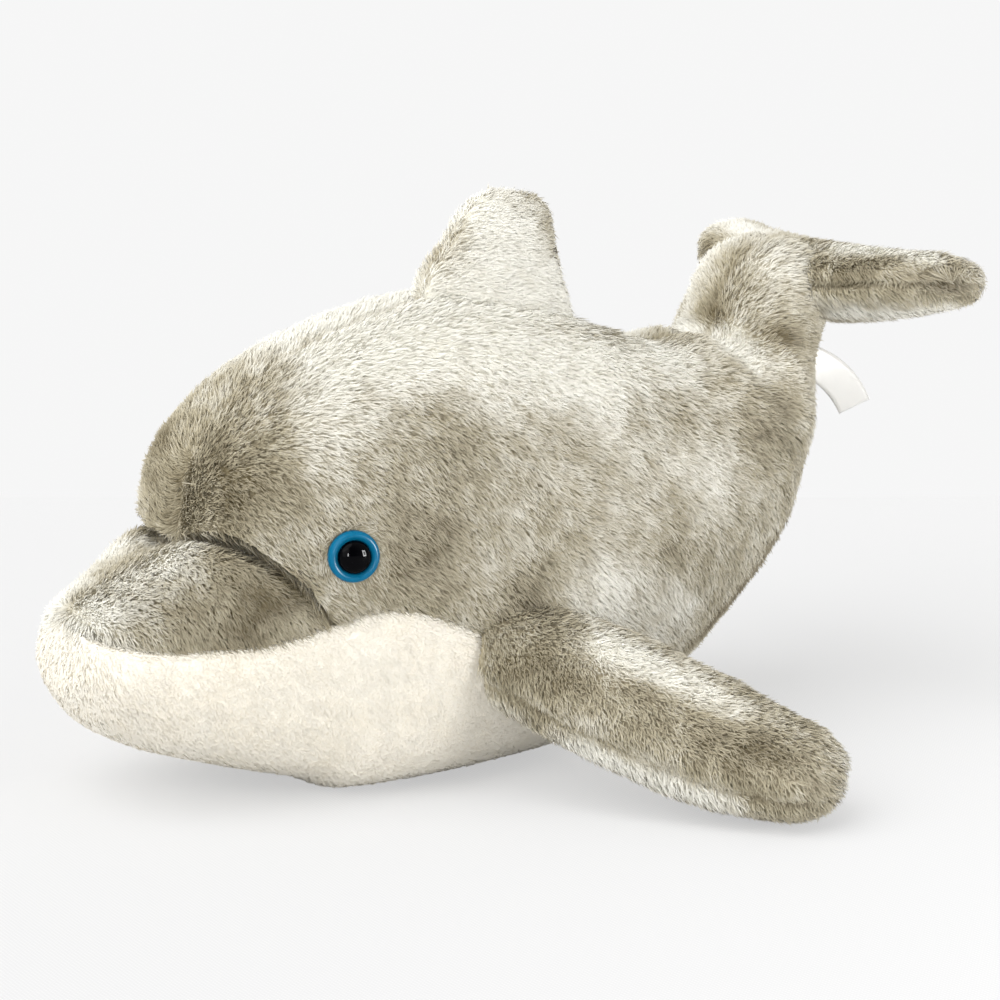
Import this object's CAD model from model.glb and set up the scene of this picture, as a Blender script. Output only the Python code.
import math

import bpy
import numpy as np
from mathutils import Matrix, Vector
from mathutils.bvhtree import BVHTree
from mathutils.kdtree import KDTree


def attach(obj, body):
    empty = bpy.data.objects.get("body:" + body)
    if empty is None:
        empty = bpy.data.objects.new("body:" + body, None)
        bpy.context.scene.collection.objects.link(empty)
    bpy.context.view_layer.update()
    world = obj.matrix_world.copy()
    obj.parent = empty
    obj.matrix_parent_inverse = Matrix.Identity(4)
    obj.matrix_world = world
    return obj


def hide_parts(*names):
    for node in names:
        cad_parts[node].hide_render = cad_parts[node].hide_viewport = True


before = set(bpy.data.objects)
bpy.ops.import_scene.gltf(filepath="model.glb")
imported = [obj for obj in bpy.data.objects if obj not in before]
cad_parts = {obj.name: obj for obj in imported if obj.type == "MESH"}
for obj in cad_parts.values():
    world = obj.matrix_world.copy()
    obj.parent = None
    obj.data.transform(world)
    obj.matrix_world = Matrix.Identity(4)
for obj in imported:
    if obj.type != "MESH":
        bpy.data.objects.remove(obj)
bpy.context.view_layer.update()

# Body, drawn as in the model's source
BODY_STATIONS = (
    (-0.128, 0.059, -0.128, 0.059, 0.0, 0.0, 2.0, 0.50, 2.0, 2.0, 0.50),
    (-0.127, 0.065, -0.130, 0.041, 0.018, 0.0, 2.0, 0.45, 2.0, 2.0, 0.66),
    (-0.123, 0.069, -0.124, 0.028, 0.030, 0.002, 2.0, 0.42, 2.0, 2.0, 0.63),
    (-0.114, 0.0745, -0.108, 0.017, 0.039, 0.006, 2.0, 0.40, 2.2, 2.1, 0.60),
    (-0.102, 0.080, -0.084, 0.009, 0.046, 0.013, 1.8, 0.42, 2.4, 2.8, 0.63),
    (-0.092, 0.083, -0.060, 0.003, 0.051, 0.020, 1.5, 0.44, 2.8, 4.0, 0.705),
    (-0.090, 0.093, -0.050, -0.0010, 0.053, 0.020, 5.0, 0.43, 3.2, 3.1, 0.645),
    (-0.086, 0.109, -0.038, -0.0012, 0.055, 0.017, 6.0, 0.42, 3.5, 2.8, 0.575),
    (-0.069, 0.127, -0.022, -0.0012, 0.058, 0.011, 6.0, 0.42, 3.5, 2.7, 0.49),
    (-0.040, 0.142, -0.003, -0.0012, 0.060, 0.006, 6.0, 0.42, 3.3, 2.6, 0.37),
    (0.003, 0.152, 0.020, -0.0012, 0.061, 0.003, 6.0, 0.42, 2.9, 2.3, 0.26),
    (0.036, 0.148, 0.045, 0.0005, 0.060, 0.0, 6.0, 0.42, 2.5, 2.1, 0.18),
    (0.064, 0.138, 0.074, 0.009, 0.057, 0.0, 6.0, 0.45, 2.1, 2.1, 0.09),
    (0.087, 0.133, 0.102, 0.028, 0.052, 0.0, 6.0, 0.50, 2.0, 2.1, 0.0),
    (0.103, 0.133, 0.129, 0.056, 0.045, 0.0, 6.0, 0.50, 2.0, 2.0, 0.0),
    (0.112, 0.137, 0.144, 0.088, 0.038, 0.0, 6.0, 0.50, 2.0, 2.0, 0.0),
    (0.117, 0.147, 0.147, 0.110, 0.032, 0.0, 6.0, 0.50, 2.0, 2.2, 0.0),
    (0.125, 0.158, 0.152, 0.126, 0.029, 0.0, 6.0, 0.50, 2.0, 2.4, 0.0),
    (0.140, 0.163, 0.160, 0.134, 0.025, 0.0, 6.0, 0.50, 2.0, 2.3, 0.0),
)
CREASE_STATION = 5
CREASE_DEPTH = 0.0025
CREASE_WIDTH = 0.45  # in stations
CREASE_RISE = 0.014  # above the belly seam, where the fold has its full depth
VENT_STATION = 13
SNOUT_LEAN = math.radians(7)
LEAN_AXIS_Z = 0.045
LEAN_FULL_Y = -0.115
LEAN_END_Y = -0.066
BACK_SEAM = (0.0022, 0.007)  # depth and width of the valley
BELLY_SEAM = (0.0013, 0.005)
STITCH_LINE = (0.0012, 0.0018)  # the narrow part of any seam
EDGE_SEAM = (0.0018, 0.2)  # round the fins: depth, and width as a sine
TAIL_FOLDS = ((14.5, 0.0050, 0.33), (13.0, 0.0015, 0.5))
TAIL_FOLD_REACH = 0.6
TAIL_FOLD_FADE = 1.4
DORSAL_FIN_SECTIONS = (
    (0.0, 0.027, 0.122, 0.0, -1.0, 0.15, 0.074, 0.034),
    (0.0, 0.0265, 0.150, 0.0, -1.0, 0.15, 0.059, 0.030),
    (0.0, 0.0295, 0.164, 0.0, -1.0, 0.15, 0.045, 0.024),
    (0.0, 0.0325, 0.175, 0.0, -1.0, 0.15, 0.037, 0.018),
    (0.0, 0.035, 0.183, 0.0, -1.0, 0.15, 0.032, 0.014),
)
FLIPPER_SECTIONS = (
    (0.040, -0.005, 0.047, 0.50, -0.75, -0.35, 0.036, 0.034),
    (0.062, 0.007, 0.041, 0.52, -0.75, -0.33, 0.044, 0.036),
    (0.082, 0.020, 0.034, 0.56, -0.74, -0.30, 0.051, 0.038),
    (0.104, 0.037, 0.024, 0.60, -0.72, -0.26, 0.052, 0.037),
    (0.124, 0.052, 0.017, 0.62, -0.72, -0.20, 0.046, 0.031),
    (0.140, 0.066, 0.013, 0.64, -0.72, -0.15, 0.039, 0.025),
)
FLUKE_SECTIONS = (
    (0.0, 0.151, 0.1455, -0.05, -1.0, 0.05, 0.050, 0.029),
    (0.020, 0.154, 0.1455, -0.15, -1.0, 0.05, 0.048, 0.028),
    (0.040, 0.159, 0.147, -0.20, -1.0, 0.05, 0.045, 0.025),
    (0.053, 0.163, 0.149, -0.25, -1.0, 0.05, 0.042, 0.022),
    (0.065, 0.167, 0.150, -0.30, -1.0, 0.05, 0.038, 0.018),
)
DORSAL_FIN_TIP_ROUNDING = 0.010
FLIPPER_TIP_ROUNDING = 0.014
FLUKE_TIP_ROUNDING = 0.009

# Skins
PILE = 0.0026  # from the skin to the top of the pile
EYE_PILE = 0.0014
EYE_PRESS = (0.014, 0.005)  # from the eye's axis: where the pile starts to sink, and over what width
BELLY_PILE = 0.0012
SKIN_OFF_FLOOR = 0.0005
EDGE_TUCK = 0.002  # how far a panel's edges turn in
CREASE_STITCH_WIDTH = 0.12  # in stations
BEAK_PUFF = (0.0, 0.0015, 0.0060)  # how far the beak swells up before the crease, most on its sides
BEAK_PUFF_ROWS = 30
BEAK_PUFF_POWER = 2.2  # above 1 brings the fullest place nearer the crease
BEAK_PUFF_ACROSS = (0.9, 0.35)  # how much on the sides, and in the middle
CREASE_SAG_AT = (-0.010, -0.094, 0.083)
CREASE_SAG = (0.027, 0.0060)  # how wide and how deep the crease dips in the middle
END_CAP = ((0.93, 0.0010), (0.7, 0.0028), (0.35, 0.0036), (0.02, 0.0038))  # each row's size and bulge
ROWS_PER_STATION = 10
BELLY_COLUMNS = 18
SIDE_COLUMNS = 40
FIN_ROWS = 40
FIN_COLUMNS = 56
FIN_CAP_ROWS = (0.5, 1.0)  # from the rim of a fin's tip to its middle

# Eyes: radii, and heights over the fabric
EYE_RING = 0.008
EYE_RING_LIP = 0.0053
EYE_LIP_HEIGHT = 0.0025
EYE_LIP_FLOOR = 0.001
EYE_BORE = 0.0028
EYE_CROWN = (0.0011, 0.0020)  # where the ring's rounding starts, and its height
EYE_DOME = 0.005
EYE_DOME_CROWN = (0.0026, 0.0024)
EYE_DOME_BASE = 0.0013
EYE_SHANK = (0.0025, -0.0110)
EYE_SHANK_TIP = (0.0018, -0.0113)
EYE_SEGMENTS = 72

# Label
LABEL_HEIGHT_ON_SEAM = 0.117
LABEL_WIDTH = 0.012
LABEL_LENGTH = 0.036
LABEL_THICKNESS = 0.0003
LABEL_OPENING = 0.0045
LABEL_OFF_SEAM = 0.0006
LABEL_DROOP = (6, 62)  # degrees, at the seam and at the fold
LABEL_TWIST = 25  # degrees in its whole length
LABEL_GAP_AT_SEAM = 0.0005
LABEL_ROWS = 33
LABEL_COLUMNS = 9

# Stage
VIEW_AZIMUTH = math.radians(58)
VIEW_ELEVATION = math.radians(12)
VIEW_DISTANCE = 1.0
VIEW_TARGET = (0, 0.040, 0.080)
VIEW_SHIFT = (-0.026, -0.004)
VIEW_LENS = 108
FLOOR_HALF = 30
FLOOR_TONE = 0.78
SEEN_FLOOR_TONE = 0.32  # with the glow, what the camera and reflections see: its shadows stay light
FLOOR_GLOW = 0.512
WEAVE_PERIOD = 0.0011
WEAVE_TONE = (0.93, 1.07)  # the deepest and the highest threads
WEAVE_GLOW = (0.975, 1.025)
BACKDROP_TONE = 0.925
BACKDROP_START = 0.392  # behind the origin, along the camera's view
BACKDROP_BLEND = 0.01
SKY = (0.76, 0.06)  # all round, and where the photo's dark room stands behind the camera
SKY_EDGE = (0.55, 0.92)  # from the one to the other, as cosines from the camera's side
WINDOW = (0.60, 0.26, 0.17)
SECOND_WINDOW = (0.55, -0.42, 0.16)
WINDOW_AIM = (0.05, -0.05, 0.08)

WELD = 1e-6
INSIDE_REACH = 0.035  # no hidden pile lies deeper than this in another piece


def monotone(knots, values, at):
    step = np.diff(knots)
    slope = np.diff(values) / step
    total = slope[:-1] + slope[1:]
    product = slope[:-1] * slope[1:]
    tangent = np.empty(len(values))
    tangent[1:-1] = np.where(product > 0, 2 * product / np.where(total == 0, 1, total), 0)
    tangent[0], tangent[-1] = slope[0], slope[-1]
    i = np.clip(np.searchsorted(knots, at, side="right") - 1, 0, len(knots) - 2)
    t = (at - knots[i]) / step[i]
    return (
        (1 + 2 * t) * (1 - t) ** 2 * values[i]
        + t * (1 - t) ** 2 * step[i] * tangent[i]
        + t * t * (3 - 2 * t) * values[i + 1]
        + t * t * (t - 1) * step[i] * tangent[i + 1]
    )


def resample(table, at):
    table = np.asarray(table, float)
    knots = np.arange(len(table), dtype=float)
    return np.stack([monotone(knots, column, at) for column in table.T], axis=1)


def unit(vectors):
    return vectors / np.maximum(np.linalg.norm(vectors, axis=-1, keepdims=True), 1e-12)


def dot(a, b):
    return (a * b).sum(axis=-1, keepdims=True)


def bell(x):
    return np.exp(-(x**2))


def body_section(station):
    back, belly = station[0:2], station[2:4]
    half_width, lag, lag_power, widest, lower_square, upper_square, seam = station[4:11]
    angle = np.linspace(-math.pi / 2, math.pi / 2, 481)
    lower = angle < 0
    square = np.where(lower, lower_square, upper_square)
    across = half_width * np.abs(np.cos(angle)) ** (2 / square)
    rise = np.abs(np.sin(angle)) ** (2 / square)
    height = np.where(lower, widest * (1 - rise), widest + (1 - widest) * rise)
    along = belly + np.outer(height, back - belly)
    spread = across / max(half_width, WELD)
    along[:, 0] += lag * np.where(lower, (1 - rise**2) * spread**2, spread**lag_power)
    points = np.column_stack([across, along[:, 0], np.maximum(along[:, 1], 0)])
    length = np.append(0, np.cumsum(np.linalg.norm(np.diff(points, axis=0), axis=1)))
    return points, length, np.interp(seam, height, length)


def half_normals(grid):
    along = np.gradient(grid, axis=0)
    around = np.gradient(grid, axis=1)
    around[:, 0] = (1, 0, 0)
    around[:, -1] = (-1, 0, 0)
    normals = unit(np.cross(along, around))
    normals[0] = unit(np.array([0.0, -1.0, 0.15]))
    on_belly_line = np.linalg.norm(grid - grid[:, :1], axis=-1) <= WELD
    normals = np.where(on_belly_line[..., None], normals[:, :1], normals)
    normals[grid[..., 2] <= WELD] = (0, 0, -1)
    return normals


def body_half():
    """The left half of the body at the top of the pile, and how far each point is from its seams."""
    last = len(BODY_STATIONS) - 1
    rows = np.linspace(0, last, last * ROWS_PER_STATION + 1)
    grid, from_seam, from_back = [], [], []
    for station in resample(BODY_STATIONS, rows):
        points, length, seam = body_section(station)
        belly = np.linspace(0, seam, BELLY_COLUMNS + 1)
        side = np.linspace(seam, length[-1], SIDE_COLUMNS + 1)
        at = np.append(belly, side[1:])
        grid.append(np.column_stack([np.interp(at, length, axis) for axis in points.T]))
        from_seam.append(at - seam)
        from_back.append(length[-1] - at)
    grid, from_seam, from_back = np.array(grid), np.array(from_seam), np.array(from_back)
    normals = half_normals(grid)
    open_seam = ((rows > 1) & (rows < VENT_STATION))[:, None]
    behind_crease = (rows >= CREASE_STATION)[:, None]
    depth = BACK_SEAM[0] * bell(from_back / BACK_SEAM[1]) * behind_crease
    reach = np.maximum(from_back[:, :1] * TAIL_FOLD_REACH, WELD)
    upper = np.clip(TAIL_FOLD_FADE - from_back / reach, 0, 1)
    for station, fold, width in TAIL_FOLDS:
        depth = depth + fold * bell((rows - station) / width)[:, None] * upper
    depth = depth + BELLY_SEAM[0] * bell(from_seam / BELLY_SEAM[1]) * open_seam
    width = np.where(rows > CREASE_STATION, CREASE_WIDTH / 2, CREASE_WIDTH)
    crease = CREASE_DEPTH * bell((rows - CREASE_STATION) / width)[:, None]
    depth = depth + crease * np.clip(from_seam / CREASE_RISE, 0, 1)
    grid = grid - normals * depth[..., None]
    grid[..., 2] = np.maximum(grid[..., 2], 0)
    grid[:, [0, -1], 0] = 0
    stitched = bell(from_back / STITCH_LINE[1]) * behind_crease
    stitched = np.maximum(stitched, bell(from_seam / STITCH_LINE[1]) * open_seam)
    crease = bell((rows - CREASE_STATION) / CREASE_STITCH_WIDTH)[:, None] * (from_seam > 0)
    return grid, half_normals(grid), np.maximum(stitched, crease)


def leaned(points):
    """The snout turned a little to its right."""
    way = np.clip((LEAN_END_Y - points[..., 1]) / (LEAN_END_Y - LEAN_FULL_Y), 0, 1)
    angle = SNOUT_LEAN * way**2 * (3 - 2 * way)
    x, height = points[..., 0], points[..., 2] - LEAN_AXIS_Z
    turned_x = x * np.cos(angle) - height * np.sin(angle)
    turned_z = x * np.sin(angle) + height * np.cos(angle) + LEAN_AXIS_Z
    return np.stack([turned_x, points[..., 1], turned_z], axis=-1)


def sagged(points):
    """The crease lowered in the middle."""
    away = np.linalg.norm(points - np.array(CREASE_SAG_AT), axis=-1)
    lower = points.copy()
    lower[..., 2] -= CREASE_SAG[1] * bell(away / CREASE_SAG[0])
    return lower


class Patch:
    """A grid of skin points with outward normals. A ring's last column joins its first."""

    STEP_LIMIT = 12  # cells that a strand may reach over
    NARROW = 0.0006  # cells as narrow as this are stepped over in space
    RING_ENDS = 3  # and so are these rows at a ring's ends
    NARROW_DIP = 0.25
    BACK_SEAM_COLUMNS = 0.6

    def __init__(self, points, sign, ring=False):
        self.points, self.ring = points, ring
        wide = np.concatenate([points[:, -1:], points, points[:, :1]], axis=1) if ring else points
        self.along = np.gradient(points, axis=0)
        around = np.gradient(wide, axis=1)
        self.around = around[:, 1:-1] if ring else around
        normals = np.cross(self.along, self.around) * sign
        size = np.linalg.norm(normals, axis=-1)
        for row in (0, -1):
            if size[row].max() < 1e-9:
                normals[row] = normals[1 if row == 0 else -2].mean(axis=0)
        self.normals = unit(normals)
        self.sign = sign

    def read(self, field, u, v):
        rows, columns = field.shape[:2]
        i, j = np.clip(u.astype(int), 0, rows - 2), np.floor(v).astype(int)
        if not self.ring:
            j = np.clip(j, 0, columns - 2)
        s, t = (u - i)[:, None], (v - j)[:, None]
        j, k = j % columns, (j + 1) % columns
        low = field[i, j] * (1 - t) + field[i, k] * t
        high = field[i + 1, j] * (1 - t) + field[i + 1, k] * t
        return low * (1 - s) + high * s

    def scatter(self, count, random):
        p = np.concatenate([self.points, self.points[:, :1]], axis=1) if self.ring else self.points
        area = np.linalg.norm(np.cross(p[1:, 1:] - p[:-1, :-1], p[1:, :-1] - p[:-1, 1:]), axis=-1)
        pick = random.choice(area.size, count, p=area.ravel() / area.sum())
        i, j = np.divmod(pick, area.shape[1])
        return i + random.random(count), j + random.random(count)

    def moved(self, u, v, shift):
        """Where a step along the surface ends: the grid place, and what reaches over the edge."""
        a, b = self.read(self.along, u, v), self.read(self.around, u, v)
        aa, bb, ab = dot(a, a), dot(b, b), dot(a, b)
        det = np.maximum(aa * bb - ab * ab, 1e-16)
        du = (dot(shift, a) * bb - dot(shift, b) * ab) / det
        dv = (dot(shift, b) * aa - dot(shift, a) * ab) / det
        last = self.points.shape[0] - 1
        at_end = self.ring & ((u < self.RING_ENDS) | (u > last - self.RING_ENDS))
        narrow = (bb < self.NARROW**2)[:, 0] | at_end
        limit = self.STEP_LIMIT
        du, dv = [np.where(narrow, 0, np.clip(step[:, 0], -limit, limit)) for step in (du, dv)]
        u2 = np.clip(u + du, 0, last)
        v2 = v + dv
        if not self.ring:
            v2 = np.clip(v2, 0, self.points.shape[1] - 1)
        over = (u + du - u2)[:, None] * a + (v + dv - v2)[:, None] * b
        straight = shift - self.NARROW_DIP * np.abs(shift) * self.read(self.normals, u, v)
        return u2, v2, np.where(narrow[:, None], straight, over)

    def seam_nearness(self, v, name):
        """From 1 at a seam between columns to 0 away from it."""
        last = self.points.shape[1] - 1
        if self.ring:
            half = (last + 1) / 2
            return bell((v + half / 2) % half - half / 2)
        if name.startswith("side"):
            return bell((last - v) / self.BACK_SEAM_COLUMNS)
        return np.zeros_like(v)


def lattice_noise(points, size, seed):
    """Smooth noise from 0 to 1, with features of about the given size."""
    table = np.random.default_rng(seed).random((32, 32, 32))
    cell = points / size + 100
    low = np.floor(cell).astype(int)
    f = cell - low
    f = f * f * (3 - 2 * f)
    total = 0
    for corner in np.ndindex(2, 2, 2):
        weight = np.abs(1 - np.array(corner) - f).prod(axis=1)
        total = total + weight * table[tuple((low + corner).T % 32)]
    return total


def add_object(name, data):
    thing = bpy.data.objects.new(name, data)
    bpy.context.collection.objects.link(thing)
    return thing


def new_object(name, points, loops, starts, material):
    mesh = bpy.data.meshes.new(name)
    mesh.vertices.add(len(points))
    mesh.vertices.foreach_set("co", np.asarray(points, np.float32).ravel())
    mesh.loops.add(len(loops))
    mesh.loops.foreach_set("vertex_index", np.asarray(loops, np.int32))
    mesh.polygons.add(len(starts))
    mesh.polygons.foreach_set("loop_start", np.asarray(starts, np.int32))
    mesh.update(calc_edges=True)
    mesh.validate()
    mesh.shade_smooth()
    mesh.materials.append(material)
    return add_object(name, mesh)


def grid_quads(rows, columns, ring, sign):
    i, j = np.meshgrid(np.arange(rows - 1), np.arange(columns if ring else columns - 1), indexing="ij")
    here, below, k = i * columns, (i + 1) * columns, (j + 1) % columns
    quads = np.stack([here + j, below + j, below + k, here + k], axis=-1).reshape(-1, 4)
    return quads if sign > 0 else quads[:, ::-1]


def skin_piece(name, patch, material):
    """The skin's mesh, whose free edges turn in."""
    points, normals = patch.points, patch.normals
    if not patch.ring:
        inner = points - normals * EDGE_TUCK
        points = np.concatenate([inner[:, :1], points, inner[:, -1:]], axis=1)
        rim = np.concatenate([inner[:, :1], inner, inner[:, -1:]], axis=1)
        points = np.concatenate([rim[:1], points, rim[-1:]], axis=0)
    rows, columns = points.shape[:2]
    quads = grid_quads(rows, columns, patch.ring, patch.sign)
    return new_object(name, points.reshape(-1, 3), quads.ravel(), np.arange(len(quads)) * 4, material)


def tree_of(patches):
    points, faces, start = [], [], 0
    for patch in patches:
        rows, columns = patch.points.shape[:2]
        points += patch.points.reshape(-1, 3).tolist()
        faces += (grid_quads(rows, columns, patch.ring, patch.sign) + start).tolist()
        start += rows * columns
    return BVHTree.FromPolygons(points, faces)


def inside(points, tree, margin):
    """Whether each point lies inside the surface, or within the margin of it."""
    result = np.zeros(len(points), bool)
    for index, point in enumerate(points.tolist()):
        place, normal, _, _ = tree.find_nearest(point, INSIDE_REACH)
        if place is not None:
            result[index] = (Vector(point) - place).dot(normal) < margin
    return result


def fin_rings(sections, tip_rounding, two_ended=False):
    table = np.asarray(sections, float)
    spans = np.append(0, np.cumsum(np.linalg.norm(np.diff(table[:, :3], axis=0), axis=1)))
    length = spans[-1]
    at = (length - PILE) * np.sin(np.linspace(0, math.pi / 2, FIN_ROWS + 1)) ** 0.9
    rows = resample(table, np.interp(at, spans, np.arange(len(spans), dtype=float)))
    into_tip = np.clip((at - length + tip_rounding) / tip_rounding, 0, 1)
    roundness = np.sqrt(1 - into_tip**2)
    if two_ended:
        away = rows[:0:-1] * np.array([-1, 1, 1, -1, 1, 1, 1, 1])
        rows = np.concatenate([away, rows])
        roundness = np.concatenate([roundness[:0:-1], roundness])
    way = np.gradient(rows[:, :3], axis=0)
    angle = np.arange(FIN_COLUMNS) * 2 * math.pi / FIN_COLUMNS
    chord_way = unit(rows[:, 3:6])
    normal = unit(np.cross(chord_way, way))
    chord = rows[:, 6] * roundness / 2 - PILE
    thick = rows[:, 7] * roundness / 2 - PILE
    stitched = EDGE_SEAM[0] * bell(np.sin(angle) / EDGE_SEAM[1]) * np.sign(np.cos(angle))
    across = chord[:, None] * np.cos(angle) - stitched * roundness[:, None]
    rings = rows[:, None, :3] + chord_way[:, None] * across[..., None]
    rings = rings + normal[:, None] * (thick[:, None] * np.sin(angle))[..., None]
    rings[..., 2] = np.maximum(rings[..., 2], PILE)
    first, last = [
        [end * (1 - part) + end.mean(axis=1, keepdims=True) * part for part in FIN_CAP_ROWS]
        for end in (rings[:1], rings[-1:])
    ]
    return np.concatenate([*(first[::-1] if two_ended else []), rings, *last])


# Materials
def new_material(name):
    material = bpy.data.materials.new(name)
    material.use_nodes = True
    return material, material.node_tree, material.node_tree.nodes["Principled BSDF"]


def set_inputs(tree, node, inputs):
    """Each input gets its value, or a link from another node's output."""
    for key, value in inputs.items():
        if isinstance(value, bpy.types.NodeSocket):
            tree.links.new(value, node.inputs[key])
        else:
            node.inputs[key].default_value = value


def add_node(tree, kind, inputs, **settings):
    node = tree.nodes.new(f"ShaderNode{kind}")
    for key, value in settings.items():
        setattr(node, key, value)
    set_inputs(tree, node, inputs)
    return node


def map_range(tree, value, low, high, start=0.0, end=1.0):
    inputs = {"Value": value, "From Min": start, "From Max": end, "To Min": low, "To Max": high}
    return add_node(tree, "MapRange", inputs).outputs["Result"]


def colour_ramp(tree, factor, first, last, middle=None):
    ramp = add_node(tree, "ValToRGB", {"Fac": factor})
    ramp.color_ramp.elements[0].color = (*first, 1)
    ramp.color_ramp.elements[1].color = (*last, 1)
    if middle is not None:
        ramp.color_ramp.elements.new(0.5).color = (*middle, 1)
    return ramp.outputs["Color"]


def object_place(tree):
    return add_node(tree, "TexCoord", {}).outputs["Object"]


def pile_material(name, deep, mid, pale, backing=False):
    """Pile whose shade each vertex gives: deep colour at the roots, pale at the tips."""
    material, tree, shader = new_material(name)
    tone = add_node(tree, "Attribute", {}, attribute_name="tone").outputs["Color"]
    shade = add_node(tree, "SeparateColor", {"Color": tone}).outputs["Red"]
    scale = 900 if backing else 170
    noise = add_node(tree, "TexNoise", {"Vector": object_place(tree), "Scale": scale, "Detail": 3})
    spread = map_range(tree, noise.outputs["Fac"], -0.1, 0.1, 0.3, 0.7)
    total = add_node(tree, "Math", {0: shade, 1: spread}, operation="ADD")
    look = {
        "Base Color": colour_ramp(tree, total.outputs["Value"], deep, pale, mid),
        "Roughness": 0.8,
        "Specular IOR Level": 0.2,
        "Sheen Weight": 0.15,
        "Sheen Roughness": 0.5,
    }
    if backing:
        height = {"Strength": 0.5, "Distance": 0.0006, "Height": noise.outputs["Fac"]}
        look["Normal"] = add_node(tree, "Bump", height).outputs["Normal"]
    set_inputs(tree, shader, look)
    return material


def moulded_material(name, colour, roughness, specular=0.5):
    """Moulded plastic with a slight ripple and handling marks."""
    material, tree, shader = new_material(name)
    noise = add_node(tree, "TexNoise", {"Vector": object_place(tree), "Scale": 400}).outputs["Fac"]
    darker, lighter = [c * 0.85 for c in colour], [min(1, c * 1.1) for c in colour]
    set_inputs(tree, shader, {
        "Base Color": colour_ramp(tree, noise, darker, lighter),
        "Roughness": map_range(tree, noise, roughness * 0.8, roughness * 1.3),
        "Specular IOR Level": specular,
    })
    return material


def satin_material():
    """Woven ribbon: fine cross ribs and a satin gloss."""
    material, tree, shader = new_material("white_satin_weave")
    ribs = {"Vector": object_place(tree), "Scale": 900, "Distortion": 1.5}
    ribs = add_node(tree, "TexWave", ribs, bands_direction="Z").outputs["Fac"]
    bump = add_node(tree, "Bump", {"Strength": 0.25, "Distance": 0.0001, "Height": ribs})
    set_inputs(tree, shader, {
        "Base Color": colour_ramp(tree, ribs, (0.86, 0.845, 0.80), (0.93, 0.925, 0.90)),
        "Normal": bump.outputs["Normal"],
        "Roughness": 0.35,
        "Sheen Weight": 0.2,
    })
    return material


GREY = ((0.172, 0.136, 0.068), (0.50, 0.447, 0.318), (0.94, 0.922, 0.84))
CREAM = ((0.91, 0.85, 0.72), (0.95, 0.905, 0.80), (0.96, 0.925, 0.83))
GREY_STRANDS = pile_material("grey_pile_strands", *GREY)
CREAM_STRANDS = pile_material("cream_pile_strands", *CREAM)
GREY_BACKING = pile_material("grey_pile_backing", *GREY, backing=True)
CREAM_BACKING = pile_material("cream_pile_backing", *CREAM, backing=True)
BLUE = moulded_material("blue_plastic_moulded", (0.001, 0.138, 0.265), 0.28, 0.12)
BLACK = moulded_material("black_plastic_moulded", (0.001, 0.001, 0.0015), 0.04, 0.05)
WHITE = moulded_material("white_plastic_moulded", (0.80, 0.80, 0.78), 0.45)
SATIN = satin_material()

# Eyes stand where the model has them
EYES = {}
for side in ("left", "right"):
    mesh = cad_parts[f"{side}_eye_iris"].data
    co = np.array([v.co for v in mesh.vertices], float)
    middle = co.mean(axis=0)
    axis = np.linalg.eigh(np.cov((co - middle).T))[1][:, 0]
    axis = axis * (1 if (axis[0] > 0) == (side == "left") else -1)
    base = ((co - middle) @ axis).min()
    EYES[side] = (middle + axis * base, axis)


def eye_distance(points):
    """Distance from the nearer eye's axis, and the way out from it."""
    best, way = np.full(points.shape[:-1], 1.0), np.zeros(points.shape)
    for place, axis in EYES.values():
        out = points - place
        out = out - (out @ axis)[..., None] * axis
        far = np.linalg.norm(out, axis=-1)
        nearer = (far < best) & ((points[..., 0] > 0) == (place[0] > 0))
        best = np.where(nearer, far, best)
        way = np.where(nearer[..., None], unit(out), way)
    return best, way


# Skins
MIRROR = np.array([-1.0, 1.0, 1.0])
top, top_normals, grooves = body_half()
pressed = np.clip((EYE_PRESS[0] - eye_distance(top)[0]) / EYE_PRESS[1], 0, 1)
depth = PILE + (EYE_PILE - PILE) * pressed + STITCH_LINE[0] * grooves
skin = top - top_normals * depth[..., None]
skin[..., 0] = np.maximum(skin[..., 0], 0)
belly_skin = top - top_normals * (BELLY_PILE + STITCH_LINE[0] * grooves)[..., None]
belly_skin[..., 0] = np.maximum(belly_skin[..., 0], 0)
belly_skin[..., 2] = np.maximum(belly_skin[..., 2], SKIN_OFF_FLOOR)
crease = CREASE_STATION * ROWS_PER_STATION
vent = VENT_STATION * ROWS_PER_STATION
to_crease = np.clip((np.arange(len(skin)) - crease) / BEAK_PUFF_ROWS + 1, 0, 1)
up_side = np.clip((np.arange(skin.shape[1]) - BELLY_COLUMNS) / SIDE_COLUMNS, 0, 1)
puff = BEAK_PUFF_ACROSS[0] * np.sin(math.pi * up_side) + BEAK_PUFF_ACROSS[1] * up_side**3
puff = np.sin(math.pi * to_crease**BEAK_PUFF_POWER)[:, None] * puff
beak_skin = skin + puff[..., None] * np.array(BEAK_PUFF)
end = skin[-1]
end_middle = (end[0] + end[-1]) / 2
end_way = unit(np.cross(end[-1] - end[0], (-1, 0, 0)))
caps = [end_middle + (end - end_middle) * size + end_way * bulge for size, bulge in END_CAP]
side_half = np.concatenate([skin, np.array(caps)])[crease:, BELLY_COLUMNS:]
beak_half = beak_skin[: crease + 1, BELLY_COLUMNS:]
belly_half = belly_skin[: vent + 1, : BELLY_COLUMNS + 1]
beak = np.concatenate([beak_half, (beak_half * MIRROR)[:, -2::-1]], axis=1)
belly = np.concatenate([(belly_half * MIRROR)[:, :0:-1], belly_half], axis=1)
flipper = fin_rings(FLIPPER_SECTIONS, FLIPPER_TIP_ROUNDING)
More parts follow.
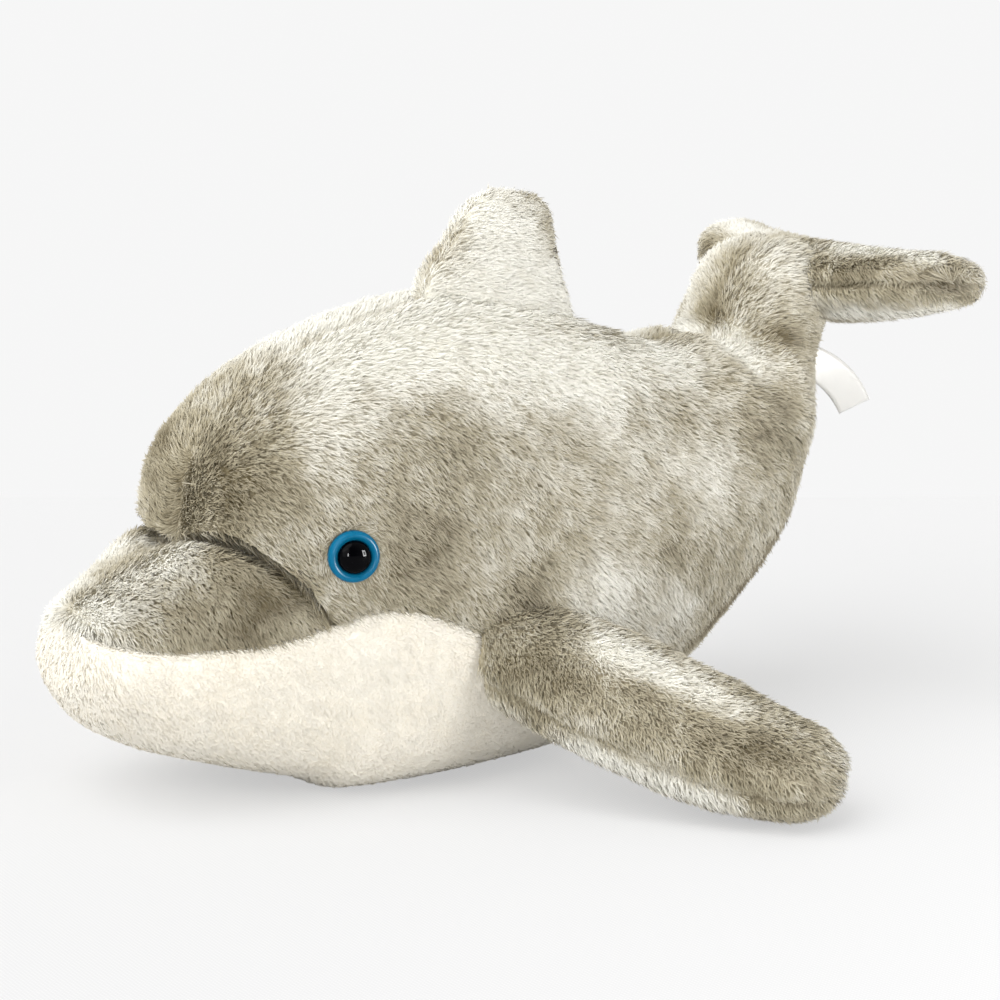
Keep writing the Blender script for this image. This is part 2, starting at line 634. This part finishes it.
patches = {
    "side_left": Patch(sagged(leaned(side_half)), 1),
    "side_right": Patch(sagged(leaned(side_half * MIRROR)), -1),
    "snout": Patch(sagged(leaned(beak)), 1),
    "belly": Patch(leaned(belly), 1),
    "dorsal_fin": Patch(fin_rings(DORSAL_FIN_SECTIONS, DORSAL_FIN_TIP_ROUNDING), 1, True),
    "left_flipper": Patch(flipper, 1, True),
    "right_flipper": Patch(flipper * MIRROR, -1, True),
    "fluke": Patch(fin_rings(FLUKE_SECTIONS, FLUKE_TIP_ROUNDING, True), 1, True),
}
body_tree = tree_of([patch for patch in patches.values() if not patch.ring])
fin_trees = {name: tree_of([patch]) for name, patch in patches.items() if patch.ring}

STANDS_FOR = {
    "side_left": ["side_panel_left"],
    "side_right": ["side_panel_right", "body_filling"],
    "snout": ["snout_panel"],
    "belly": ["belly_panel"],
}
for name in fin_trees:
    sides = ("left", "right") if name == "dorsal_fin" else ("upper", "lower")
    STANDS_FOR[name] = [f"{name}_{side}_panel" for side in sides] + [f"{name}_filling"]


# Pile
# Places on either side where the pile is brushed dark or pale: x, y, z, radius and how much
BRUSHED = (
    (0.031, -0.083, 0.104, 0.013, -0.34),  # forehead
    (0.017, -0.085, 0.109, 0.005, -0.35),
    (0.008, -0.089, 0.094, 0.012, -0.32),
    (0.045, -0.072, 0.093, 0.007, -0.18),
    (0.041, -0.056, 0.119, 0.014, 0.24),
    (0.058, -0.032, 0.083, 0.011, -0.30),  # behind the eye
    (0.054, -0.049, 0.066, 0.007, 0.10),
    (0.060, -0.014, 0.071, 0.007, 0.12),
    (0.061, 0.003, 0.061, 0.008, -0.32),  # over the flipper
    (0.054, 0.023, 0.106, 0.005, -0.26),  # flank
    (0.059, 0.027, 0.084, 0.004, -0.24),
    (0.057, 0.060, 0.084, 0.008, -0.20),
    (0.058, 0.060, 0.067, 0.005, -0.22),
    (0.060, 0.047, 0.065, 0.007, 0.20),
    (0.061, 0.033, 0.061, 0.014, 0.56),
    (0.057, 0.063, 0.050, 0.013, 0.42),
    (0.050, 0.078, 0.090, 0.012, 0.22),
    (0.045, 0.101, 0.102, 0.009, -0.26),
    (0.041, 0.120, 0.098, 0.007, -0.22),
    (0.018, -0.043, 0.139, 0.016, 0.30),  # back
    (0.026, 0.084, 0.126, 0.014, 0.36),
    (0.040, -0.087, 0.068, 0.014, -0.46),  # snout
    (0.043, -0.071, 0.073, 0.007, -0.28),
    (0.031, -0.106, 0.065, 0.009, -0.22),
    (0.013, -0.126, 0.065, 0.013, 0.58),
    (0.020, -0.102, 0.077, 0.013, 0.46),
    (0.008, 0.021, 0.173, 0.013, 0.42),  # dorsal fin
    (0.014, 0.029, 0.155, 0.013, 0.40),
    (0.003, 0.025, 0.183, 0.012, 0.25),
    (0.016, 0.113, 0.133, 0.008, 0.36),  # tail folds
    (0.038, 0.115, 0.110, 0.009, -0.24),
    (0.003, 0.123, 0.153, 0.008, -0.14),
    (0.019, 0.127, 0.155, 0.014, 0.36),
    (0.024, 0.142, 0.156, 0.005, -0.24),  # flukes
    (0.066, 0.171, 0.147, 0.004, -0.22),
    (0.045, 0.155, 0.150, 0.025, 0.12),
    (0.068, -0.012, 0.044, 0.005, -0.34),  # flipper's root
)
# The same along a line: both ends, radius and how much
STREAKS = (
    ((0.084, 0.014, 0.052), (0.119, 0.039, 0.036), 0.008, 0.60),  # flipper
    ((0.079, -0.003, 0.048), (0.142, 0.048, 0.021), 0.009, -0.30),
    ((0.088, 0.001, 0.022), (0.128, 0.028, 0.010), 0.006, 0.55),
    ((0.030, 0.137, 0.151), (0.063, 0.165, 0.150), 0.0055, -0.45),  # fluke
    ((0.035, 0.143, 0.137), (0.060, 0.165, 0.140), 0.006, 0.62),
    ((0.023, 0.150, 0.160), (0.058, 0.161, 0.159), 0.006, 0.60),
    ((-0.001, 0.115, 0.136), (0.033, 0.125, 0.128), 0.0035, -0.42),  # tail fold
    ((0.004, 0.109, 0.131), (0.030, 0.114, 0.122), 0.006, 0.62),
    ((0.026, -0.034, 0.141), (0.040, 0.040, 0.127), 0.018, 0.70),  # back
    ((0.008, -0.030, 0.150), (0.012, 0.052, 0.148), 0.012, 0.50),
    ((0.020, 0.076, 0.131), (0.036, 0.045, 0.130), 0.014, 0.30),
    ((0.045, 0.080, 0.033), (0.018, 0.138, 0.082), 0.007, -0.35),  # under the tail
    ((0.045, 0.075, 0.033), (0.039, 0.100, 0.048), 0.004, -0.42),
    ((0.039, 0.100, 0.048), (0.037, 0.122, 0.072), 0.004, -0.42),
)
PLAIN_SHADE = 0.56
STRAND_SHADES = np.array([-0.26, -0.04, 0.18, -0.04])  # root, edge, tip, edge
STRAND_SHADE_SPREAD = 0.14
SEAM_SHADE = 0.22
BACKING_SHADE = 0.20
CREASE_DARK = (0.26, 2.5)  # how much, and over how many rows
FROSTED = (0.75, 0.55)  # contrast that the palest strands lose, and the shade where that starts
MOTTLING = ((0.024, 0.26), (0.010, 0.26), (0.0045, 0.22))  # size and how much


def add_tone(thing, tone):
    colour = np.stack([tone, tone, tone, np.ones_like(tone)], axis=-1)
    layer = thing.data.color_attributes.new(name="tone", type="FLOAT_COLOR", domain="POINT")
    layer.data.foreach_set("color", colour.astype(np.float32).ravel())


def crease_shade(name, rows, last):
    """How much darker the pile is near the crease, for rows of the beak and of the sides."""
    if name == "snout":
        return -CREASE_DARK[0] * bell((last - rows) / CREASE_DARK[1])
    return -CREASE_DARK[0] * bell(rows / CREASE_DARK[1]) * name.startswith("side")


def shade_at(points):
    """How pale the pile is at each place, about 0 to 1."""
    shade = np.full(len(points), PLAIN_SHADE)
    for seed, (size, amount) in enumerate(MOTTLING):
        shade = shade + amount * (lattice_noise(points, size, seed) - 0.5)
    folded = np.column_stack([np.abs(points[:, 0]), points[:, 1:]])
    for start, end, radius, amount in STREAKS:
        start, line = np.array(start), np.array(end) - np.array(start)
        part = np.clip((folded - start) @ line / (line @ line), 0, 1)[:, None]
        away = np.linalg.norm(folded - start - part * line, axis=-1)
        shade = shade + amount * bell(away / radius)
    for *place, radius, amount in BRUSHED:
        away = np.linalg.norm(folded - place, axis=-1)
        shade = shade + amount * bell(away / radius)
    return shade


for name, patch in patches.items():
    cream = name == "belly"
    piece = skin_piece(f"{name}_skin", patch, CREAM_BACKING if cream else GREY_BACKING)
    places = np.array([v.co for v in piece.data.vertices])
    rows = len(patch.points)
    turned_in = 0 if patch.ring else 1
    row = np.arange(len(places)) // (len(places) // (rows + 2 * turned_in)) - turned_in
    crease_tone = crease_shade(name, row.astype(float), rows - 1)
    add_tone(piece, np.clip(shade_at(places) + crease_tone - BACKING_SHADE, 0, 1))
    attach(piece, "root")
    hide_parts(*STANDS_FOR[name])


TAIL_COMB = ((0.085, 0.095), (0.02, 0.03))  # y and z where the tail's pile falls less, and its blend
FIN_FALL = 0.5  # the least share of the fall on a flipper or fluke
CREASE_COMB_ROWS = 7  # of the sides, whose pile hangs over the crease
CREASE_COMB = (0.85, 1.1, 0.3)  # less back and more fall there, and less fall past it


def comb_at(name, comb, points, normals, rows):
    """The way the pile lies: outward, back, and down where the surface faces sideways."""
    outward, back, down = comb
    sideways = np.abs(normals[:, 0]) if name != "belly" else np.ones(len(points))
    if "fl" in name:
        sideways = np.maximum(sideways, FIN_FALL)
    if name == "snout":
        sideways = np.maximum(sideways, np.clip(-normals[:, 1], 0, 1))
    if name.startswith("side"):
        start, blend = np.array(TAIL_COMB)
        down = down - np.clip((points[:, 1:] - start) / blend, 0, 1).prod(axis=1)
    fall = down * sideways
    if name.startswith("side"):
        over_crease = np.clip(1 - rows / CREASE_COMB_ROWS, 0, 1)
        back = back * (1 - CREASE_COMB[0] * over_crease)
        hanging = CREASE_COMB[1] * over_crease - CREASE_COMB[2] * (1 - over_crease)
        fall = fall + hanging * np.maximum(-normals[:, 1], 0) * (1 - sideways)
    return np.stack([outward * np.sign(points[:, 0]), back * np.ones(len(points)), -fall], axis=1)


# Strands: length, rise at the root and at the tip in degrees, width, how much their directions differ
# in degrees, and how far their shading turns from the skin's to their own
GREY_WIDTH = 0.00033
SIDE_PILE = dict(length=0.0044, rise=(42, 19), width=GREY_WIDTH, curl=15, tilt=0.3)
SNOUT_PILE = dict(length=0.0042, rise=(46, 26), width=GREY_WIDTH, curl=17, tilt=0.3)
CREAM_PILE = dict(length=0.0021, rise=(22, 5), width=0.00040, curl=10, tilt=0.05)
FIN_PILE = dict(length=0.0042, rise=(44, 22), width=GREY_WIDTH, curl=22, tilt=0.3)
STRANDS = {  # how many, and the way they lie
    "side_left": (99000, (0.5, 1.0, 1.35), SIDE_PILE),
    "side_right": (99000, (0.5, 1.0, 1.35), SIDE_PILE),
    "snout": (27000, (0.5, 0.8, 1.1), SNOUT_PILE),
    "belly": (76000, (0.2, 1.0, 1.0), CREAM_PILE),
    "dorsal_fin": (26000, (0.35, 1.0, 0.15), FIN_PILE),
    "left_flipper": (50000, (0.5, 0.35, 1.6), FIN_PILE),
    "right_flipper": (50000, (0.5, 0.35, 1.6), FIN_PILE),
    "fluke": (52000, (0.4, 0.4, 1.6), FIN_PILE),
}
ROOT_DEPTH = 0.0004
TIP_LIFT = 0.0006  # the least that a tip stands over the skin
OFF_FLOOR = (0.0003, 0.0003, 0.0002)  # root, middle and tip of a strand
HIDDEN_IN_BODY = 0.0008
HIDDEN_IN_FIN = 0.0004
FIN_BOX_MARGIN = 0.002
EYE_CLEAR = 0.93  # of the ring's radius, under which no pile grows
EYE_PARTING = (0.013, 0.004)  # where the pile starts to part round an eye, and over what
EYE_PARTED = (0.25, 0.45, 0.5)  # how far it turns outward, and how much shorter and lower it is
SWIRLS = ((40, 0.03, 11), (24, 0.009, 12))  # degrees, size and seed
LENGTHS = (0.72, 0.5)  # the shortest strand, and how much longer the longest is
SHORT_AT_SEAM = 0.45
LONG_AT_CREASE = (0.35, 8)  # how much longer, and over how many rows
PATCHY_LENGTH = (0.85, 0.3, 0.006, 13)  # least, how much more, size and seed
RISE_SPREAD = (9, 10)
TIP_ROWS = (11, 10, 6)  # of a fin's two ends, and over how many the pile rises
TIP_RISE = (0.45, 0.7)
CLUMP = 9  # strands
CLUMP_PULL = (0.26, 0.3)  # of the tips, and the middle's share of it
WIDTHS = (0.75, 0.5)
STRAND_TURN = 55  # degrees either way about its own line
KITE = np.array([[0.5, 0.1], [0.85, 0.5], [0.5, 0.9], [0.15, 0.5]])  # in a cell of the UV map


def turned_about(vectors, axes, angle):
    c, s = np.cos(angle)[:, None], np.sin(angle)[:, None]
    return vectors * c + np.cross(axes, vectors) * s + axes * dot(axes, vectors) * (1 - c)


def hidden_roots(name, root):
    """Which strands would grow inside another piece."""
    if name in fin_trees:
        return inside(root, body_tree, HIDDEN_IN_BODY)
    gone = np.zeros(len(root), bool)
    for fin_name, tree in fin_trees.items():
        low, high = [side(patches[fin_name].points, axis=(0, 1)) for side in (np.min, np.max)]
        in_box = (root > low - FIN_BOX_MARGIN) & (root < high + FIN_BOX_MARGIN)
        near = in_box.all(axis=1) & ~gone
        gone[near] = inside(root[near], tree, HIDDEN_IN_FIN)
    return gone


def clumped(root, middle, tip, pulls):
    """Each strand bent toward the nearest of the strands that lead."""
    lead = np.arange(0, len(root), CLUMP)
    finder = KDTree(len(lead))
    for place, index in enumerate(lead.tolist()):
        finder.insert(root[index].tolist(), place)
    finder.balance()
    chief = lead[[finder.find(p)[1] for p in root.tolist()]]
    tip = tip + (tip[chief] - tip) * pulls
    middle = middle + (middle[chief] - middle) * pulls * CLUMP_PULL[1]
    return middle, tip


def grow(name, patch, count, comb, settings, seed):
    """A piece of pile: kites of two triangles that lie along the skin."""
    random = np.random.default_rng(seed)
    u, v = patch.scatter(count, random)
    root = patch.read(patch.points, u, v)
    gone = hidden_roots(name, root)
    far, out = eye_distance(root)
    gone |= far < EYE_RING * EYE_CLEAR
    u, v, root, far, out = [values[~gone] for values in (u, v, root, far, out)]
    n = len(root)
    normal = unit(patch.read(patch.normals, u, v))
    way = comb_at(name, comb, root, normal, u)
    way = unit(way - normal * dot(way, normal))
    swirl = np.zeros(n)
    for degrees, size, noise_seed in SWIRLS:
        swirl += np.radians(degrees) * (lattice_noise(root, size, noise_seed) - 0.5)
    swirl += np.radians(settings["curl"]) * random.standard_normal(n)
    way = turned_about(way, normal, swirl)
    near_eye = np.clip((EYE_PARTING[0] - far) / EYE_PARTING[1], 0, 1)[:, None]
    inward = np.minimum(dot(way, out), 0)
    way = unit(way - out * inward * near_eye + out * EYE_PARTED[0] * near_eye)

    near_seam = patch.seam_nearness(v, name)
    shorter = 1 - EYE_PARTED[1] * near_eye[:, 0]
    length = settings["length"] * (LENGTHS[0] + LENGTHS[1] * random.random(n)) * shorter
    length *= 1 - SHORT_AT_SEAM * near_seam
    if name.startswith("side"):
        length *= 1 + LONG_AT_CREASE[0] * np.clip(1 - u / LONG_AT_CREASE[1], 0, 1)
    length *= PATCHY_LENGTH[0] + PATCHY_LENGTH[1] * lattice_noise(root, *PATCHY_LENGTH[2:])
    near_tip = np.zeros(n)
    if "fl" in name:
        near_tip = np.clip((u - len(patch.points) + TIP_ROWS[0]) / TIP_ROWS[2], 0, 1)
        if name == "fluke":
            near_tip = np.maximum(near_tip, np.clip((TIP_ROWS[1] - u) / TIP_ROWS[2], 0, 1))
    half = (length / 2)[:, None]
    step, lift, bends = 0, 0, []
    for degrees, spread, at_tip in zip(settings["rise"], RISE_SPREAD, TIP_RISE):
        rise = np.radians(degrees + spread * random.standard_normal(n))
        rise = (rise * (1 - EYE_PARTED[2] * near_eye[:, 0]) + at_tip * near_tip)[:, None]
        step, lift = step + half * np.cos(rise), lift + half * np.sin(rise)
        u_there, v_there, over = patch.moved(u, v, way * step)
        place = patch.read(patch.points, u_there, v_there) + over
        bends.append((place, lift, unit(patch.read(patch.normals, u_there, v_there))))
    (middle, lift_1, normal_1), (tip, lift_2, normal_2) = bends
    middle = middle + normal_1 * lift_1
    tip = tip + normal_2 * np.maximum(lift_2, TIP_LIFT)
    root = root - normal * ROOT_DEPTH
    middle, tip = clumped(root, middle, tip, (CLUMP_PULL[0] * random.random(n))[:, None])
    for points, height in zip((root, middle, tip), OFF_FLOOR):
        points[:, 2] = np.maximum(points[:, 2], height)

    half_wide = settings["width"] * (WIDTHS[0] + WIDTHS[1] * random.random(n))[:, None] / 2
    turn = np.radians(STRAND_TURN) * (2 * random.random(n) - 1)
    way_1, way_2 = unit(middle - root), unit(tip - middle)
    side_1 = turned_about(unit(np.cross(way_1, normal)), way_1, turn)
    side_2 = turned_about(unit(np.cross(way_2, normal_1)), way_2, turn)
    side = unit(side_1 + side_2) * half_wide
    points = np.stack([root, middle + side, tip, middle - side], axis=1)
    loops = ((np.arange(n) * 4)[:, None] + np.array([[0, 1, 3, 1, 2, 3]])).ravel()
    material = CREAM_STRANDS if name == "belly" else GREY_STRANDS
    thing = new_object(f"{name}_fur", points.reshape(-1, 3), loops, np.arange(2 * n) * 3, material)

    tilt = settings["tilt"]
    own_1, own_2 = unit(np.cross(side_1, way_1)), unit(np.cross(side_2, way_2))
    face_1 = unit(normal + tilt * own_1 + tilt / 3 * way_1)
    face_2 = unit(normal_1 + tilt * own_2 + tilt / 3 * way_2)
    face = unit(face_1 + face_2)
    faces = np.stack([face_1, face, face_2, face], axis=1).reshape(-1, 3)
    thing.data.normals_split_custom_set_from_vertices(faces)

    shade = shade_at(root) + STRAND_SHADE_SPREAD * (random.random(n) - 0.5)
    shade += crease_shade(name, u, len(patch.points) - 1) - SEAM_SHADE * near_seam
    contrast = 1 - FROSTED[0] * np.clip((shade - FROSTED[1]) / (1 - FROSTED[1]), 0, 1)
    add_tone(thing, np.clip(shade[:, None] + contrast[:, None] * STRAND_SHADES, 0, 1).ravel())

    across = math.ceil(math.sqrt(n))
    cell = np.stack([np.arange(n) % across, np.arange(n) // across], axis=1)[:, None] / across
    places = (cell + KITE / across).reshape(-1, 2)[loops]
    uv = thing.data.uv_layers.new(name="OFBake")
    uv.data.foreach_set("uv", places.astype(np.float32).ravel())
    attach(thing, "root")


for seed, (name, pile) in enumerate(STRANDS.items(), 100):
    grow(name, patches[name], *pile, seed)


# Eyes
def turned_piece(name, profile, material, place, axis):
    """A profile of radii and heights, turned about the axis."""
    angle = np.arange(EYE_SEGMENTS) * 2 * math.pi / EYE_SEGMENTS
    radius, height = [np.array(values)[:, None] for values in zip(*profile)]
    local = np.stack([radius * np.cos(angle), radius * np.sin(angle), height + 0 * angle], axis=-1)
    z = Vector(axis)
    y = (Vector((0, 0, 1)) - z * z.z).normalized()
    points = local.reshape(-1, 3) @ np.array([y.cross(z), y, z]) + place
    quads = grid_quads(len(profile), EYE_SEGMENTS, True, 1)
    piece = new_object(name, points, quads.ravel(), np.arange(len(quads)) * 4, material)
    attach(piece, "root")
    return piece


def arc(centre, radii, start, end, count):
    angle = np.radians(np.linspace(start, end, count))
    return [(centre[0] + radii[0] * math.cos(a), centre[1] + radii[1] * math.sin(a)) for a in angle]


for side, (place, axis) in EYES.items():
    crown = ((EYE_RING_LIP + EYE_RING) / 2, EYE_CROWN[0])
    crown_radii = ((EYE_RING - EYE_RING_LIP) / 2, EYE_CROWN[1])
    ring = [(EYE_BORE, 0.0), (EYE_BORE, EYE_LIP_FLOOR)]
    ring += [(EYE_RING_LIP, EYE_LIP_FLOOR), (EYE_RING_LIP, EYE_LIP_HEIGHT)]
    ring += arc(crown, crown_radii, 130, 0, 24)
    ring += [(EYE_RING, 0.0), (EYE_BORE, 0.0)]
    iris = turned_piece(f"{side}_eye_ring", ring[::-1], BLUE, place, axis)
    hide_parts(f"{side}_eye_iris")
    dome = arc((0, EYE_DOME_CROWN[0]), (EYE_DOME, EYE_DOME_CROWN[1]), 90, 0, 28)
    dome += [(EYE_DOME, EYE_DOME_BASE), (EYE_SHANK[0], EYE_DOME_BASE)]
    dome += [EYE_SHANK, EYE_SHANK_TIP, (0.0, EYE_SHANK_TIP[1])]
    pupil = turned_piece(f"{side}_eye_dome", dome[::-1], BLACK, place, axis)
    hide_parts(f"{side}_eye_pupil")
    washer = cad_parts[f"{side}_eye_washer"].data
    washer.materials.clear()
    washer.materials.append(WHITE)

# Label: a ribbon folded into a loop
behind = top[vent:, 0]
heights = LABEL_HEIGHT_ON_SEAM + np.array([-0.5, 0.5]) * LABEL_WIDTH
ends = np.stack([np.zeros(2), np.interp(heights, behind[:, 2], behind[:, 1]), heights], axis=1)
wide = unit(ends[1] - ends[0])
start = (ends[0] + ends[1]) / 2 + np.array([0.0, wide[2], -wide[1]]) * LABEL_OFF_SEAM
run = np.linspace(0, 1, LABEL_ROWS)
droop = np.radians(np.linspace(*LABEL_DROOP, len(run)))
spine = np.stack([np.zeros_like(run), np.cos(droop), -np.sin(droop)], axis=1)
spine = start + (np.cumsum(spine, axis=0) - spine[0]) * LABEL_LENGTH / (len(run) - 1)
up = np.stack([np.zeros_like(run), np.sin(droop), np.cos(droop)], axis=1)
twist = np.radians(LABEL_TWIST) * run[:, None]
x_way = np.array([1.0, 0.0, 0.0])
across = up * np.cos(twist) + x_way * np.sin(twist)
aside = x_way * np.cos(twist) - up * np.sin(twist)
open_by = LABEL_OPENING / 2 * np.sin(run * math.pi) ** 0.8 + LABEL_GAP_AT_SEAM * (1 - run)
layers = []
for shift in (LABEL_THICKNESS / 2, -LABEL_THICKNESS / 2):
    leg = aside * (open_by[:, None] + shift)
    layers.append(np.concatenate([spine + leg, (spine - leg)[::-1]]))
wide = np.concatenate([across, across[::-1]])
edges = np.linspace(-1, 1, LABEL_COLUMNS) * LABEL_WIDTH / 2
ribbon = [layers[0] + wide * edge for edge in edges]
ribbon += [layers[1] + wide * edge for edge in edges[::-1]]
ribbon = np.array(ribbon).transpose(1, 0, 2)
rows, columns = ribbon.shape[:2]
quads = grid_quads(rows, columns, True, 1)
cap = np.arange(columns)
loops = np.concatenate([quads.ravel(), cap, (rows - 1) * columns + cap[::-1]])
starts = np.append(np.arange(len(quads) + 1) * 4, len(quads) * 4 + columns)
piece = new_object("sewn_ribbon", ribbon.reshape(-1, 3), loops, starts, SATIN)
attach(piece, "root")
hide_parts("sewn_label")

# Floor: the camera and reflections see cloth up to the backdrop, and light meets a plain tone
floor_material, tree, shader = new_material("floor_cloth")
where = object_place(tree)
threads = []
for direction in ("X", "Y"):
    thread = {"Vector": where, "Scale": math.pi / (10 * WEAVE_PERIOD), "Distortion": 0.6}
    threads.append(add_node(tree, "TexWave", thread, bands_direction=direction).outputs["Fac"])
weave = add_node(tree, "Math", dict(enumerate(threads)), operation="MULTIPLY").outputs["Value"]
set_inputs(tree, shader, {
    "Base Color": map_range(tree, weave, *[SEEN_FLOOR_TONE * part for part in WEAVE_TONE]),
    "Roughness": 0.9,
    "Specular IOR Level": 0.1,
    "Emission Color": (1, 1, 1, 1),
    "Emission Strength": map_range(tree, weave, *[FLOOR_GLOW * part for part in WEAVE_GLOW]),
})
backdrop = add_node(tree, "Emission", {"Color": (*[BACKDROP_TONE] * 3, 1)})
away = {0: where, 1: (-math.sin(VIEW_AZIMUTH), math.cos(VIEW_AZIMUTH), 0)}
away = add_node(tree, "VectorMath", away, operation="DOT_PRODUCT").outputs["Value"]
beyond = map_range(tree, away, 0, 1, BACKDROP_START, BACKDROP_START + BACKDROP_BLEND)
seen_shaders = {0: beyond, 1: shader.outputs["BSDF"], 2: backdrop.outputs["Emission"]}
choice = add_node(tree, "MixShader", seen_shaders)
bounce = add_node(tree, "BsdfDiffuse", {"Color": (*[FLOOR_TONE] * 3, 1)})
ray = add_node(tree, "LightPath", {})
seen = ray.outputs["Is Camera Ray"]
for kind in ("Is Glossy Ray", "Is Transmission Ray"):
    either = add_node(tree, "Math", {0: seen, 1: ray.outputs[kind]}, operation="MAXIMUM")
    seen = either.outputs["Value"]
both_shaders = {0: seen, 1: bounce.outputs["BSDF"], 2: choice.outputs["Shader"]}
view = add_node(tree, "MixShader", both_shaders)
set_inputs(tree, tree.nodes["Material Output"], {"Surface": view.outputs["Shader"]})
corners = [(x * FLOOR_HALF, y * FLOOR_HALF, 0) for x, y in ((-1, -1), (1, -1), (1, 1), (-1, 1))]
new_object("floor", corners, range(4), [0], floor_material)

# Camera
toward_camera = Vector((
    math.sin(VIEW_AZIMUTH) * math.cos(VIEW_ELEVATION),
    -math.cos(VIEW_AZIMUTH) * math.cos(VIEW_ELEVATION),
    math.sin(VIEW_ELEVATION),
))
camera_data = bpy.data.cameras.new("camera")
camera_data.sensor_width = 36
camera_data.lens = VIEW_LENS
camera_data.shift_x, camera_data.shift_y = VIEW_SHIFT
camera = add_object("camera", camera_data)
camera.location = Vector(VIEW_TARGET) + toward_camera * VIEW_DISTANCE
camera.rotation_euler = toward_camera.to_track_quat("Z", "Y").to_euler()
bpy.context.scene.camera = camera


# Light
def add_lamp(name, kind, place, aim, power, glint=False, **settings):
    """A lamp that faces its aim. A glint shows in reflections only."""
    data = bpy.data.lights.new(name, kind)
    data.energy = power
    for key, value in settings.items():
        setattr(data, key, value)
    light = add_object(name, data)
    light.visible_diffuse = not glint
    light.location = place
    light.rotation_euler = (Vector(place) - Vector(aim)).to_track_quat("Z", "Y").to_euler()


def add_window(name, place, size, power, glint=False):
    shape = dict(shape="RECTANGLE", size=size[0], size_y=size[1])
    add_lamp(name, "AREA", place, WINDOW_AIM, power, glint, **shape)


add_lamp("key", "SUN", (0.07, -0.64, 0.85), (0, 0, 0), power=2.06, angle=math.radians(60))
add_lamp("front", "SUN", (0.60, -0.95, 0.42), (0, 0, 0), power=0.95, angle=math.radians(45))
add_window("window", WINDOW, (0.11, 0.14), power=1.0)
add_window("window_glint", WINDOW, (0.19, 0.25), power=18, glint=True)
add_window("second_window", SECOND_WINDOW, (0.05, 0.12), power=2.2, glint=True)
world = bpy.data.worlds.new("world")
world.use_nodes = True
tree = world.node_tree
facing = {0: add_node(tree, "TexCoord", {}).outputs["Generated"], 1: toward_camera}
facing = add_node(tree, "VectorMath", facing, operation="DOT_PRODUCT").outputs["Value"]
sky = map_range(tree, facing, *SKY, *SKY_EDGE)
set_inputs(tree, tree.nodes["Background"], {"Color": (1, 1, 1, 1), "Strength": sky})
bpy.context.scene.world = world
bpy.context.scene.view_settings.view_transform = "Standard"

bpy.context.view_layer.update()
